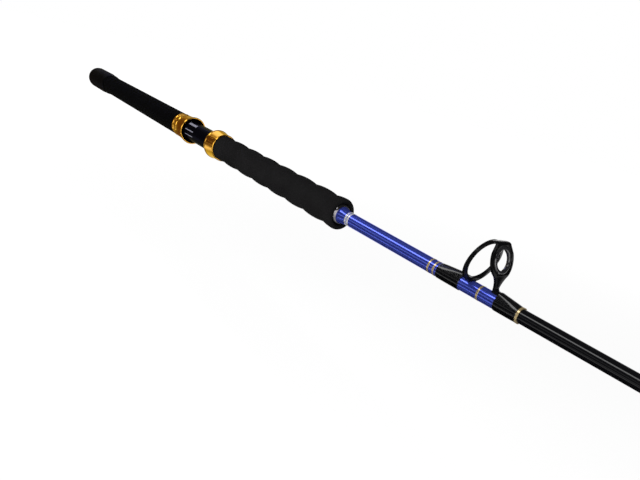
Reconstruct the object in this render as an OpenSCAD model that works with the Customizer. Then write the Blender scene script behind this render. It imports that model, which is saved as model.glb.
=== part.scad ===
// Conventional boat rod, one piece, with an empty reel seat.
// The rod's axis is X: the butt end face is at the origin and the tip points along +X.
// The guides and the reel's side of the seat are on top, along +Z.

/* [Rod blank] */
// Length from the butt end to the end of the blank
rod_length = 1676; // [1500:1:1900]
// Diameter of the blank at the butt
blank_butt_od = 14; // [12:0.1:16]
// Diameter of the blank where it leaves the foregrip
blank_mid_od = 11.6; // [10:0.1:13]
// Diameter of the blank at the tip
blank_tip_od = 4; // [3:0.1:5]
// Wall of the blank at the butt
blank_wall = 1.8; // [1:0.1:2.5]
// Wall of the blank at the tip
tip_wall = 0.8; // [0.5:0.1:1]

/* [Butt and rear grip] */
// Wall of the butt cap's barrel round the grip
cap_wall = 2.25; // [1.8:0.05:3.5]
// Length of the cap's full-size barrel
cap_barrel = 60; // [45:1:75]
// Length of the cap's tapered collar
cap_collar = 22; // [14:1:30]
// Rounding of the cap's rear edge
cap_round = 6; // [2:0.5:8]
// Diameter of the rear grip
grip_od = 30; // [28:0.1:32]
// Distance from the butt end to the front end of the rear grip
rear_grip_end = 376; // [300:0.5:420]

/* [Reel seat] */
// Outside diameter of the seat tube
seat_od = 24.8; // [24:0.1:26]
// Wall of the seat tube
seat_wall = 2.8; // [2.4:0.1:3.2]
// Width of the flat bed that the reel's foot lies on
bed_width = 12; // [8:0.5:12]
// Clear length between the two hoods with the sliding hood back
foot_gap = 66.5; // [55:0.5:90]
// Forward travel of the sliding hood
hood_travel = 20; // [10:1:26]
// Running clearance of the nut and the sliding hood on the seat tube
seat_clear = 0.08; // [0.03:0.01:0.1]
// Width of the keyway along the underside of the seat tube
key_slot = 3; // [2.5:0.1:4]
// Depth of the keyway
key_depth = 1.2; // [0.8:0.1:1.5]

/* [Hoods and lock nut] */
// Length of the lock nut
nut_length = 12.5; // [10:0.5:16]
// Diameter of the lock nut
nut_od = 30.8; // [30:0.1:33]
// Number of finger flutes round the lock nut
nut_flutes = 18; // [12:1:24]
// Thickness of the slip ring between nut and hood
washer_thick = 1.5; // [0.8:0.1:2]
// Length of the sliding hood
hood_length = 20; // [19:0.5:34]
// Length of the sliding hood's collar
hood_collar = 8; // [7:0.5:12]
// Diameter of the hoods' mouths
hood_mouth_od = 35; // [34.6:0.1:37]
// Wall of the hoods round the pocket
hood_wall = 1.1; // [0.9:0.1:1.4]
// Thickness of the lip round the hoods' mouths
hood_lip = 2; // [1.4:0.1:2.2]
// Length of the fixed hood
fixed_hood_length = 19.5; // [17:0.5:26]

/* [Foregrip] */
// Length of the foregrip
foregrip_length = 225.5; // [180:0.5:260]
// Number of valleys between the finger swells
swell_valleys = 7; // [5:1:9]
// Length of the plain end before the first valley
swell_lead = 14; // [10:1:20]
// Depth of a valley below the swells
swell_depth = 1.6; // [0.8:0.1:2.5]
// Diameter of the foregrip over the swells
foregrip_od = 29.8; // [28:0.1:31]
// Diameter of the winding check
check_od = 20.4; // [18:0.1:22]
// How far the winding check's nose stands ahead of the foregrip
check_nose = 0.4; // [0.2:0.1:3]

/* [Wraps] */
// Thickness of the finished thread wrap
wrap_thick = 0.35; // [0.25:0.05:0.5]
// Length of the decorative wrap ahead of the foregrip
butt_wrap_length = 93; // [70:1:120]
// Width of a trim band
band_width = 1.6; // [1:0.1:2.5]
// Width of the silver bands at the cone
silver_width = 2.1; // [1:0.1:2.5]
// Gap between a foot wrap and the trim band beside it
band_gap = 0.05; // [0.02:0.01:0.3]
// Height of a trim band over the wrap
band_rise = 0.15; // [0.1:0.05:0.3]

/* [Guides] */
// Distance from the tip end of the blank to the stripper guide
stripper_from_tip = 794; // [760:1:820]
// Height of the stripper guide's ring over the rod axis
stripper_height = 27.7; // [25:0.1:30]
// Radius of the stripper guide's opening
stripper_opening_r = 6.9; // [6:0.1:8.5]
// Lean of the ring plates back towards the butt, in degrees
plate_lean = 16; // [6:1:17]
// Radial clearance of the ring inserts, bonded in
insert_fit = 0; // [0:0.01:0.02]
// Length of the tip guide's tube
tip_tube_length = 18; // [14:1:24]
// Radius of the tip guide's opening
tip_opening_r = 2.8; // [2.4:0.1:3.2]

/* [Hidden] */
$fn = 64;
eps = 0.01;

// Stations along the rod, from the butt end
cap_length = cap_barrel + cap_collar;
nut_x = rear_grip_end + 0.5;
washer_x = nut_x + nut_length + 0.1;
hood_x = washer_x + washer_thick + 0.1;
hood_mouth_x = hood_x + hood_length;
fixed_mouth_x = hood_mouth_x + foot_gap;
foregrip_x = fixed_mouth_x + fixed_hood_length;
foregrip_end = foregrip_x + foregrip_length;
check_recess = 6.5;
cone_x = foregrip_end + check_nose;
cone_seat_x = foregrip_end - 1;
cone_r = check_od / 2 - 2.3;
cone_length = 9.1;
silver_x = cone_x + cone_length;
silver_pitch = silver_width + 0.8;
wrap_x = silver_x + silver_pitch + silver_width;
wrap_end = wrap_x + butt_wrap_length;
gold_pitch = 5.2;

// Reel seat
seat_r = seat_od / 2;
seat_bore_r = seat_r - seat_wall;
bed_z = sqrt(pow(seat_r, 2) - pow(bed_width / 2, 2));
bed_x = hood_x + hood_collar + 1;
bed_end = fixed_mouth_x + fixed_hood_length * 0.72;
slide_bore_r = seat_r + seat_clear;
key_gap = 0.2;
mouth_r = hood_mouth_od / 2;
hood_collar_r = mouth_r - 1.9;
lip_length = 2.4;
arbor_length = 14;

// Foregrip swells
swell_r = foregrip_od / 2;
end_round = 17.4;
swell_pitch = (foregrip_length - swell_lead - end_round) / (swell_valleys - 1);

// Guides: distance from the tip, ring height and opening radius, from the butt upwards
guides = [
    [stripper_from_tip, stripper_height, stripper_opening_r],
    [640, 21.5, 5.2],
    [490, 18.5, 4.3],
    [345, 16, 3.7],
    [215, 14.2, 3.2],
    [100, 13, 3]
];

function blank_r(x) = lookup(x, [
    [0, blank_butt_od / 2], [foregrip_end, blank_mid_od / 2], [rod_length, blank_tip_od / 2]]);
function core_r(x) = blank_r(x) - lookup(x, [[0, blank_wall], [rod_length, tip_wall]]);
function arc(cr, cx, ar, ax, from, to, steps) = [
    for (i = [0:steps]) let (a = from + (to - from) * i / steps) [cr + ar * cos(a), cx + ax * sin(a)]];

// A solid of revolution about the rod's axis, from [radius, distance] points
module turned(points) {
    rotate([0, 90, 0])
        rotate_extrude()
            polygon(points);
}

// A sleeve that hugs the blank, starting at a given height over it
module sleeve(x0, x1, from_t, to_t) {
    turned([
        [blank_r(x0) + from_t, x0], [blank_r(x0) + to_t, x0],
        [blank_r(x1) + to_t, x1], [blank_r(x1) + from_t, x1]]);
}

// A trim band laid over a wrap, with a domed edge
module band(x, over, rise = band_rise, width = band_width) {
    sleeve(x, x + width, over, over + rise);
}

// A straight round bar between two points of the plane y = 0 or beside it
module bar(p, q, r) {
    d = q - p;
    length = norm(d);
    translate(p)
        rotate([0, acos(d[2] / length), atan2(d[1], d[0])])
            cylinder(r = r, h = length, $fn = 24);
}

module butt_cap() {
    grip_r = grip_od / 2;
    barrel_r = grip_r + cap_wall;
    collar_r = grip_r + 1.4;
    pocket = 8;
    color([0.05, 0.05, 0.055])
        turned(concat(
            [[0, 0]],
            arc(barrel_r - cap_round, cap_round, cap_round, cap_round, -90, 0, 8),
            [[barrel_r, cap_barrel]],
            [[collar_r, cap_barrel + 9], [collar_r, cap_length - 5]],
            [[collar_r - 0.3, cap_length - 1.5], [grip_r + 0.4, cap_length]],
            [[grip_r, cap_length], [grip_r, pocket], [0, pocket]]));
}

module butt_plug() {
    x0 = 8;
    x1 = 26;
    color([0.1, 0.1, 0.1])
        turned([[0, x0], [core_r(x0), x0], [core_r(x1), x1], [0, x1]]);
}

module rear_grip() {
    x0 = 8;
    chamfer = 1.2;
    grip_r = grip_od / 2;
    color([0.06, 0.06, 0.06])
        turned([
            [blank_r(x0), x0], [grip_r, x0], [grip_r, rear_grip_end - chamfer],
            [grip_r - chamfer, rear_grip_end], [blank_r(rear_grip_end), rear_grip_end]]);
}

module rod_blank() {
    x0 = 8;
    color([0.04, 0.04, 0.045])
        turned([
            [core_r(x0), x0], [blank_r(x0), x0], [blank_r(foregrip_end), foregrip_end],
            [blank_r(rod_length), rod_length], [core_r(rod_length), rod_length],
            [core_r(foregrip_end), foregrip_end]]);
}

module reel_seat_tube() {
    color([0.03, 0.03, 0.035])
        difference() {
            turned([
                [seat_bore_r, rear_grip_end], [seat_r - 0.4, rear_grip_end], [seat_r, rear_grip_end + 0.4],
                [seat_r, foregrip_x], [seat_bore_r, foregrip_x]]);
            translate([bed_x, -seat_r, bed_z])
                cube([bed_end - bed_x, seat_od, seat_r]);
            translate([rear_grip_end - 1, -key_slot / 2, -seat_r - 1])
                cube([hood_x + hood_collar + hood_travel + 3 - rear_grip_end, key_slot, key_depth + 1]);
        }
}

module seat_arbors() {
    first = rear_grip_end + 6;
    last = foregrip_x - 6 - arbor_length;
    color([0.55, 0.42, 0.3])
        for (x = [first, (first + last) / 2, last])
            turned([
                [blank_r(x), x], [seat_bore_r, x], [seat_bore_r, x + arbor_length],
                [blank_r(x + arbor_length), x + arbor_length]]);
}

module lock_nut() {
    nut_r = nut_od / 2;
    groove = 0.5;
    flute_r = 1.3;
    band_start = nut_x + 3;
    band_stop = nut_x + nut_length - 3.4;
    color([0.85, 0.6, 0.2])
        difference() {
            turned([
                [slide_bore_r, nut_x], [nut_r - 0.8, nut_x], [nut_r, nut_x + 0.8],
                [nut_r, band_start - 0.5], [nut_r - groove, band_start], [nut_r - groove, band_stop],
                [nut_r, band_stop + 0.5], [nut_r, nut_x + nut_length - 0.8],
                [nut_r - 0.8, nut_x + nut_length], [slide_bore_r, nut_x + nut_length]]);
            for (i = [0:nut_flutes - 1])
                rotate([i * 360 / nut_flutes, 0, 0])
                    translate([band_start + 0.4, 0, nut_r - groove + flute_r - 0.25])
                        rotate([0, 90, 0])
                            cylinder(r = flute_r, h = band_stop - band_start - 0.8, $fn = 24);
        }
}

module nut_washer() {
    r = nut_od / 2 - 0.3;
    edge = 0.4;
    color([0.9, 0.65, 0.25])
        turned([
            [slide_bore_r, washer_x], [r - edge, washer_x], [r, washer_x + edge],
            [r, washer_x + washer_thick - edge], [r - edge, washer_x + washer_thick],
            [slide_bore_r, washer_x + washer_thick]]);
}

module sliding_hood() {
    x1 = hood_mouth_x;
    pocket_x = hood_x + hood_collar + 2;
    flare = (mouth_r - 0.5 - hood_collar_r) / (x1 - lip_length - (hood_x + 3));
    pocket_r = hood_collar_r + flare * (pocket_x - hood_x - 3) - hood_wall;
    color([0.85, 0.6, 0.2]) {
        turned([
            [slide_bore_r, hood_x], [hood_collar_r - 0.5, hood_x], [hood_collar_r, hood_x + 0.5],
            [hood_collar_r, hood_x + 3], [mouth_r - 0.5, x1 - lip_length],
            [mouth_r, x1 - lip_length + 0.6], [mouth_r, x1 - 0.7], [mouth_r - 0.5, x1],
            [mouth_r - hood_lip + 0.6, x1], [mouth_r - hood_lip, x1 - 0.7],
            [mouth_r - hood_lip, x1 - lip_length], [mouth_r - 0.6 - hood_wall, x1 - lip_length - 1],
            [pocket_r, pocket_x], [slide_bore_r, pocket_x - 2]]);
        // key that runs in the seat's keyway
        translate([hood_x + 1, -key_slot / 2 + key_gap, -slide_bore_r - 0.6])
            cube([hood_collar - 2, key_slot - 2 * key_gap, key_depth + seat_clear + 0.3]);
    }
}

module fixed_hood() {
    x0 = fixed_mouth_x;
    x1 = foregrip_x;
    pocket_end = bed_end;
    front_r = mouth_r - 1.9;
    bead = 0.5;
    slope = (mouth_r - 0.4 - front_r) / (x1 - 2.4 - (x0 + lip_length));
    pocket_r = front_r + slope * (x1 - 2.4 - pocket_end) - hood_wall;
    color([0.85, 0.6, 0.2])
        turned([
            [mouth_r - 0.6 - hood_wall, x0 + lip_length + 1], [mouth_r - hood_lip, x0 + lip_length],
            [mouth_r - hood_lip, x0 + 0.7], [mouth_r - hood_lip + 0.6, x0], [mouth_r - 0.4, x0],
            [mouth_r, x0 + 0.5], [mouth_r, x0 + 2], [mouth_r - 0.4, x0 + lip_length],
            [front_r, x1 - 2.4], [front_r + bead, x1 - 1.8], [front_r + bead, x1 - 0.5],
            [front_r, x1], [seat_r, x1], [seat_r, pocket_end + 1.5], [pocket_r, pocket_end]]);
}

module foregrip() {
    x0 = foregrip_x;
    x1 = foregrip_end;
    steps = 8;
    first_valley = x0 + swell_lead;
    last_valley = first_valley + (swell_valleys - 1) * swell_pitch;
    valley_r = swell_r - swell_depth;
    nose_round = 2.8;
    nose_length = 3.6;
    lead = arc(swell_r - 0.5, x0 + 2, 0.5, 2, -90, 0, 4);
    fall = [for (i = [1:4])
        let (u = i / 4)
        [swell_r - swell_depth * u * u, x0 + 2 + (swell_lead - 2) * u]];
    swells = [for (k = [0:swell_valleys - 2], i = [1:steps])
        let (u = i / steps)
        [valley_r + 4 * swell_depth * u * (1 - u), first_valley + (k + u) * swell_pitch]];
    rise = [for (i = [1:4])
        let (u = i / 4)
        [valley_r + swell_depth * u * (2 - u), last_valley + (x1 - nose_length - last_valley) * u]];
    nose = arc(swell_r - nose_round, x1 - nose_length, nose_round, nose_length, 15, 90, 6);
    color([0.06, 0.06, 0.06])
        turned(concat(
            [[blank_r(x0), x0]], lead, fall, swells, rise, nose,
            [[check_od / 2 + 0.2, x1 - 1.2], [check_od / 2 + 0.2, x1 - check_recess],
             [blank_r(x1 - check_recess), x1 - check_recess]]));
}

module winding_check() {
    x0 = foregrip_end - check_recess;
    r = check_od / 2;
    color([0.8, 0.8, 0.82])
        turned([
            [blank_r(x0), x0], [r, x0], [r, foregrip_end - 1.5], [r - 0.3, foregrip_end - 1.1],
            [cone_r + 0.5, cone_x - 0.1], [cone_r + 0.2, cone_x], [cone_r, cone_x - 0.3],
            [cone_r, cone_seat_x], [blank_r(cone_seat_x), cone_seat_x]]);
}

module check_cone() {
    x0 = cone_seat_x;
    x1 = silver_x;
    r1 = blank_r(x1) + wrap_thick;
    dip = 0.25;
    color([0.15, 0.17, 0.7])
        turned(concat(
            [[blank_r(x0), x0], [cone_r, x0], [cone_r, cone_x - 0.3]],
            [for (i = [1:5]) let (u = i / 5)
                [cone_r + (r1 - cone_r) * u - dip * 4 * u * (1 - u), cone_x + (x1 - cone_x) * u]],
            [[blank_r(x1), x1], [blank_r(foregrip_end), foregrip_end]]));
}

module silver_bands() {
    color([0.85, 0.85, 0.87])
        for (x = [silver_x, silver_x + silver_pitch])
            band(x, 0, wrap_thick + band_rise, silver_width);
}

module butt_wrap() {
    between = silver_x + silver_width;
    color([0.15, 0.17, 0.7]) {
        sleeve(between, silver_x + silver_pitch, 0, wrap_thick);
        sleeve(wrap_x, wrap_end, 0, wrap_thick);
    }
}

module gold_bands() {
    color([0.85, 0.75, 0.5])
        for (x = [wrap_end, wrap_end + gold_pitch])
            band(x, wrap_thick);
}

// Size factors of guide g: its stock follows its opening, its spread its height
function guide_x(g) = rod_length - guides[g][0];
function guide_h(g) = guides[g][1];
function opening_r(g) = guides[g][2];
function spread(g) = guide_h(g) / 27.7;
function stock(g) = 0.28 + 0.72 * opening_r(g) / 6.9;
function insert_r(g) = opening_r(g) + 3.1 * stock(g);
function plate_r(g) = insert_r(g) + 2.9 * stock(g);
function plate_top(g) = plate_r(g) - 0.7 * stock(g);
function plate_thick(g) = 1.9 * stock(g);
function underlay(g) = g == 0 ? wrap_thick : 0;
function bend_z(g) = guide_h(g) - 0.8 * plate_r(g);
// Where the stem and the rear loop stand, and where the feet end
function stem_x(g) = plate_x(g, bend_z(g));
function loop_x(g) = guide_x(g) - 16.5 * spread(g);
function loop_top_x(g) = guide_x(g) - 9.8 * spread(g);
function frame_top(g) = guide_h(g) + plate_top(g);
function loop_top(g) = frame_top(g) - 1.4 * spread(g);
function plate_x(g, z) = guide_x(g) - (z - guide_h(g)) * tan(plate_lean);
function front_foot_end(g) = stem_x(g) + 18 * stock(g);
function rear_foot_end(g) = loop_x(g) - 22 * stock(g);
function front_wrap_end(g) = front_foot_end(g) + 4 * stock(g);
function rear_wrap_end(g) = rear_foot_end(g) - 5 * stock(g);
function seat_at(g, x) = blank_r(x) + underlay(g);
function foot_thick(g) = 2.1 * stock(g);
function foot_half(g) = 2.4 * stock(g);
function foot_share(u) = lookup(u, [[0, 1], [0.3, 0.9], [1, 0.25]]);

// Front outline of the ring plate and its stem, centred on the ring:
// a round eye, a flat top with rounded corners and a waist that falls to the stem
module plate_outline(g) {
    k = stock(g);
    r = plate_r(g);
    top = plate_top(g);
    corner = 3.4 * k;
    half_top = 8.6 * k;
    stem = 2 * k;
    waist = 16 * k;
    reach = guide_h(g) - blank_r(guide_x(g)) + 1.5;
    waist_y = sqrt(pow(r + waist, 2) - pow(stem + waist, 2));
    meet = atan2(waist_y, stem + waist);
    shoulder = 22;
    side = concat(
        [[stem, -max(reach, waist_y + 0.1)]],
        arc(stem + waist, -waist_y, -waist, -waist, 0, -meet, 8),
        arc(0, 0, r, r, -meet + 6, shoulder, 12),
        arc(half_top - corner, top - corner, corner, corner, shoulder, 90, 5));
    last = len(side) - 1;
    polygon(concat(side, [for (i = [0:last]) [-side[last - i][0], side[last - i][1]]]));
}

// Side outline of the bent plate: folded back at the top to carry the loop, leaning at
// the eye, upright at the stem, with a toe fillet
module plate_profile(g) {
    half = plate_thick(g) / 2;
    x0 = stem_x(g);
    z_low = blank_r(x0) - 1.5;
    fold = plate_thick(g);
    fold_z = frame_top(g) - fold;
    toe = 2.6 * stock(g);
    toe_z = seat_at(g, x0) + 0.6 * foot_thick(g);
    polygon(concat(
        [[x0 - half, z_low], [x0 - half, bend_z(g)], [plate_x(g, fold_z) - half, fold_z],
         [loop_top_x(g), loop_top(g) - fold], [loop_top_x(g), loop_top(g)]],
        arc(plate_x(g, fold_z) + half - fold, fold_z, fold, fold, 90, 0, 5),
        [[x0 + half, bend_z(g)]],
        arc(x0 + half + toe, toe_z + toe, toe, toe, 180, 270, 6),
        [[x0 + half + toe, z_low]]));
}

// Oval outline of the rear loop, standing on its end between two heights
module loop_outline(half, low, high) {
    steps = 48;
    polygon([for (i = [0:steps - 1])
        let (a = 360 * i / steps)
        [half * cos(a), (high + low) / 2 + (high - low) / 2 * sin(a)]]);
}

// Plan of the bent plate: its fold narrows towards the loop
module plate_plan(g) {
    fold_x = plate_x(g, frame_top(g) - plate_thick(g)) - plate_thick(g) / 2;
    front = stem_x(g) + 25;
    side = 2 * plate_r(g);
    top = 8.6 * stock(g);
    tip = 5.4 * stock(g);
    polygon([
        [loop_top_x(g), -tip], [fold_x, -top], [fold_x, -side], [front, -side],
        [front, side], [fold_x, side], [fold_x, top], [loop_top_x(g), tip]]);
}

// What the feet stand on: the blank with any wrap under the guide
module foot_bed(g) {
    x0 = rear_foot_end(g) - 20;
    x1 = front_foot_end(g) + 20;
    turned([[0, x0], [seat_at(g, x0), x0], [seat_at(g, x1), x1], [0, x1]]);
}

// A foot curved to the blank, thinning from its upright at x0 to its end at x1
module foot(g, x0, x1) {
    knee = x0 + (x1 - x0) * 0.3;
    width = 2 * foot_half(g);
    intersection() {
        turned([
            [0, x0], [seat_at(g, x0) + foot_thick(g), x0],
            [seat_at(g, knee) + foot_thick(g) * foot_share(0.3), knee],
            [seat_at(g, x1) + foot_thick(g) * foot_share(1), x1], [0, x1]]);
        translate([min(x0, x1) - 1, -width / 2, 0])
            cube([abs(x1 - x0) + 2, width, 30]);
    }
}

module guide_feet(g) {
    overlap = 0.4 * plate_thick(g);
    foot(g, stem_x(g) - overlap, front_foot_end(g));
    foot(g, loop_x(g) + 2 * stock(g), rear_foot_end(g));
}

module guide_frame(g) {
    k = stock(g);
    rail = 2 * k;
    rail_side = 3 * k;
    rail_foot = 3.6 * k;
    rail_top = 2.6 * k;
    loop_z = seat_at(g, loop_x(g)) - 1.2 * k;
    half_width = 18.8 * spread(g);
    run = loop_top_x(g) - loop_x(g);
    climb = loop_top(g) - loop_z;
    length = norm([run, climb]);
    color([0.05, 0.05, 0.055])
        difference() {
            union() {
                intersection() {
                    rotate([90, 0, 0])
                        linear_extrude(height = 4 * plate_r(g), center = true)
                            plate_profile(g);
                    translate([stem_x(g) - 25, 0, guide_h(g)])
                        rotate([90, 0, 90])
                            linear_extrude(height = 50)
                                plate_outline(g);
                    linear_extrude(height = frame_top(g) + 1)
                        plate_plan(g);
                }
                translate([loop_x(g), 0, loop_z])
                    rotate([0, atan2(run, climb), 0])
                        rotate([90, 0, 90])
                            linear_extrude(height = rail, center = true)
                                difference() {
                                    loop_outline(half_width, 0, length);
                                    loop_outline(half_width - rail_side, rail_foot, length - rail_top);
                                }
                guide_feet(g);
            }
            foot_bed(g);
            translate([guide_x(g), 0, guide_h(g)])
                rotate([0, 90 - plate_lean, 0])
                    cylinder(r = insert_r(g) + insert_fit, h = 3 * plate_thick(g), center = true);
        }
}

module guide_ring(g) {
    k = stock(g);
    half = 1.35 * k;
    r0 = opening_r(g);
    r1 = insert_r(g);
    land = 0.4 * k;
    edge = 0.8 * k;
    color([0.12, 0.12, 0.13])
        translate([guide_x(g), 0, guide_h(g)])
            rotate([0, 90 - plate_lean, 0])
                rotate_extrude()
                    polygon([
                        [r0, -land], [r0 + 0.25 * k, -half + 0.35 * k], [r0 + edge, -half],
                        [r1 - edge, -half], [r1, -half + edge], [r1, half - edge], [r1 - edge, half],
                        [r0 + edge, half], [r0 + 0.25 * k, half - 0.35 * k], [r0, land]]);
}

module disc(x, r, y, z) {
    translate([x, y, z])
        rotate([0, 90, 0])
            cylinder(r = r, h = eps, $fn = 32);
}

// One station of a foot wrap: the wrapped blank and the skin over the foot's top corners
module wrap_station(g, x, share, skin) {
    over = seat_at(g, x) + foot_thick(g) * share;
    corner_z = sqrt(pow(over, 2) - pow(foot_half(g), 2));
    disc(x, seat_at(g, x) + skin, 0, 0);
    disc(x, skin, 0, over);
    for (side = [-1, 1])
        disc(x, skin, side * foot_half(g), corner_z);
}

// A thread wrap that rises over a foot and falls to the blank at its far end
module foot_wrap(g, near, foot_x0, foot_x1, far) {
    skin = wrap_thick + 0.15;
    knee = foot_x0 + (foot_x1 - foot_x0) * 0.3;
    difference() {
        hull() {
            wrap_station(g, near, foot_share((near - foot_x0) / (foot_x1 - foot_x0)), skin);
            wrap_station(g, knee, foot_share(0.3) + 0.05, skin);
            wrap_station(g, foot_x1, foot_share(1), skin);
            disc(far, seat_at(g, far) + wrap_thick, 0, 0);
        }
        foot_bed(g);
        guide_feet(g);
    }
}

module guide_rear_wrap(g) {
    color([0.03, 0.03, 0.035])
        foot_wrap(g, loop_x(g) - 6 * stock(g), loop_x(g), rear_foot_end(g), rear_wrap_end(g));
}

module guide_front_wrap(g) {
    color([0.03, 0.03, 0.035])
        foot_wrap(g, stem_x(g) + 4.6 * stock(g), stem_x(g), front_foot_end(g), front_wrap_end(g));
}

module guide_1_underwrap() {
    color([0.15, 0.17, 0.7])
        sleeve(wrap_end, front_wrap_end(0), 0, wrap_thick);
}

module guide_1_bands() {
    color([0.85, 0.75, 0.5]) {
        band((loop_x(0) + stem_x(0)) / 2, wrap_thick);
        band(front_wrap_end(0) + band_gap, 0, 2 * wrap_thick + band_rise);
    }
}

module trim_bands() {
    color([0.85, 0.75, 0.5])
        for (g = [1:len(guides) - 1]) {
            band(rear_wrap_end(g) - band_gap - band_width, 0, wrap_thick + band_rise);
            band(front_wrap_end(g) + band_gap, 0, wrap_thick + band_rise);
        }
}

// Tip guide
tip_skin = 0.7;
tip_tube_x = rod_length - tip_tube_length + 2;
tip_tube_r = blank_r(tip_tube_x) + tip_skin;
tip_end = rod_length + 3;
tip_ring_r = tip_opening_r + 2;
tip_holder_r = tip_ring_r + 1.2;
tip_plate = 2;
tip_lean = 22;
tip_ring_x = rod_length + 7.5;
tip_ring_z = tip_holder_r * cos(tip_lean) + 0.4;

// A point of the tip ring's plane: distance from its centre and angle above horizontal
function tip_point(r, a) = [
    tip_ring_x + r * sin(a) * sin(tip_lean), r * cos(a), tip_ring_z + r * sin(a) * cos(tip_lean)];

module tip_turned() {
    translate([tip_ring_x, 0, tip_ring_z])
        rotate([0, 90 + tip_lean, 0])
            children();
}

module tip_frame() {
    low = tip_point(tip_holder_r - 0.4, -90);
    inner = tip_point(tip_ring_r + 0.2, -90);
    color([0.05, 0.05, 0.055])
        difference() {
            union() {
                turned([[0, tip_tube_x], [tip_tube_r, tip_tube_x], [tip_tube_r, tip_end - 1],
                    [tip_tube_r - 0.8, tip_end], [0, tip_end]]);
                tip_turned()
                    cylinder(r = tip_holder_r, h = tip_plate, center = true);
                // web between the tube's end and the ring holder
                rotate([90, 0, 0])
                    linear_extrude(height = 1.8, center = true)
                        polygon([
                            [tip_end - 7, 0], [tip_end - 1, -tip_tube_r + 0.9], [low[0], low[2]],
                            [inner[0], inner[2]], [tip_end - 7, tip_tube_r - 0.2]]);
                for (a = [20, 160]) {
                    side = tip_point(tip_ring_r + 0.55, a);
                    foot_y = sign(side[1]) * (tip_tube_r - 0.5);
                    bar([tip_tube_x + 4, foot_y, 0.8], side, 0.6);
                }
            }
            turned([[0, tip_tube_x - 1], [blank_r(tip_tube_x - 1), tip_tube_x - 1],
                [blank_r(rod_length), rod_length], [0, rod_length]]);
            tip_turned()
                cylinder(r = tip_ring_r, h = 1.6 * tip_plate, center = true);
        }
}

module tip_ring() {
    half = 1.4;
    bevel = 0.7;
    color([0.12, 0.12, 0.13])
        tip_turned()
            rotate_extrude()
                polygon([
                    [tip_opening_r, -0.5], [tip_opening_r + bevel, -half], [tip_ring_r - 0.3, -half],
                    [tip_ring_r, -half + 0.3], [tip_ring_r, half - 0.3], [tip_ring_r - 0.3, half],
                    [tip_opening_r + bevel, half], [tip_opening_r, 0.5]]);
}

module tip_wrap() {
    x0 = tip_tube_x - 9;
    color([0.03, 0.03, 0.035])
        sleeve(x0, tip_tube_x, 0, wrap_thick + 0.2);
}

butt_cap();
butt_plug();
rear_grip();
rod_blank();
reel_seat_tube();
seat_arbors();
lock_nut();
nut_washer();
sliding_hood();
fixed_hood();
foregrip();
winding_check();
check_cone();
silver_bands();
butt_wrap();
gold_bands();
guide_frame(0);  // guide_1_frame
guide_ring(0);  // guide_1_ring
guide_1_underwrap();
guide_rear_wrap(0);  // guide_1_rear_wrap
guide_front_wrap(0);  // guide_1_front_wrap
guide_1_bands();
guide_frame(1);  // guide_2_frame
guide_ring(1);  // guide_2_ring
guide_rear_wrap(1);  // guide_2_rear_wrap
guide_front_wrap(1);  // guide_2_front_wrap
guide_frame(2);  // guide_3_frame
guide_ring(2);  // guide_3_ring
guide_rear_wrap(2);  // guide_3_rear_wrap
guide_front_wrap(2);  // guide_3_front_wrap
guide_frame(3);  // guide_4_frame
guide_ring(3);  // guide_4_ring
guide_rear_wrap(3);  // guide_4_rear_wrap
guide_front_wrap(3);  // guide_4_front_wrap
guide_frame(4);  // guide_5_frame
guide_ring(4);  // guide_5_ring
guide_rear_wrap(4);  // guide_5_rear_wrap
guide_front_wrap(4);  // guide_5_front_wrap
guide_frame(5);  // guide_6_frame
guide_ring(5);  // guide_6_ring
guide_rear_wrap(5);  // guide_6_rear_wrap
guide_front_wrap(5);  // guide_6_front_wrap
trim_bands();
tip_frame();
tip_ring();
tip_wrap();
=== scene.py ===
import math

import bmesh
import bpy
from bpy.props import FloatProperty, FloatVectorProperty, IntProperty, PointerProperty
from mathutils import Matrix, Vector
from mathutils.bvhtree import BVHTree


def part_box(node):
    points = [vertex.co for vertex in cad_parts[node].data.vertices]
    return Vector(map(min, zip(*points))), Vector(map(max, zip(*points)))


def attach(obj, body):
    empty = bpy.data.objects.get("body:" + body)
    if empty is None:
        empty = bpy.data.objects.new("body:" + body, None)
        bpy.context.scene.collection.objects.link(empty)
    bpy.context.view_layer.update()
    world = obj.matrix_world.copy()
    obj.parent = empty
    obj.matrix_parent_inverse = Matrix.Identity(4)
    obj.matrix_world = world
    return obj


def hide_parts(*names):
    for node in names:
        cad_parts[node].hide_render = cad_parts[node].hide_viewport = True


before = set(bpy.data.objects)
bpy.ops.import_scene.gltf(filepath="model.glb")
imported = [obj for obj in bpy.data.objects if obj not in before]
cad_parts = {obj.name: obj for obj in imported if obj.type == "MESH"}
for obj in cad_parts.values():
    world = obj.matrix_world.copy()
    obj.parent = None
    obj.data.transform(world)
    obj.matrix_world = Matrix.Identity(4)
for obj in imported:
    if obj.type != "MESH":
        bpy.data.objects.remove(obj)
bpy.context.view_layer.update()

bl_info = {
    "name": "Boat rod finish",
    "version": (1, 0, 0),
    "blender": (4, 5, 0),
    "location": "View3D > Sidebar > Rod",
    "description": "Foam, anodised metal, thread wraps and guides for a one-piece boat rod",
    "category": "Object",
}

MM = 0.001
GUIDES = ["guide_%d" % number for number in range(1, 7)]
AXIS = Vector((1, 0, 0))
BETWEEN_GRIPS_X = 0.4
REEL_SEAT_X = 0.44
FLOOR_MIDDLE_X = 0.8
RING_STEPS = 96

CAMERA_PLACE = Vector((1.05983, -0.32511, 0.11655))
CAMERA_RIGHT = Vector((0.59316, 0.76630, 0.24689))
CAMERA_DOWN = Vector((0.38427, 0, -0.92322))
CAMERA_AHEAD = Vector((-0.70746, 0.64249, -0.29447))

# The camera's spot and its direction on the level, as the studio's light and dark areas use them
VIEW_SPOT = (1.06, -0.325)
VIEW_WAY = (-0.74, 0.67)


def colour(name, description, default):
    """A setting for a colour."""
    return FloatVectorProperty(
        name=name, description=description, default=default, size=3, min=0, max=1, subtype="COLOR"
    )


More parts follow.
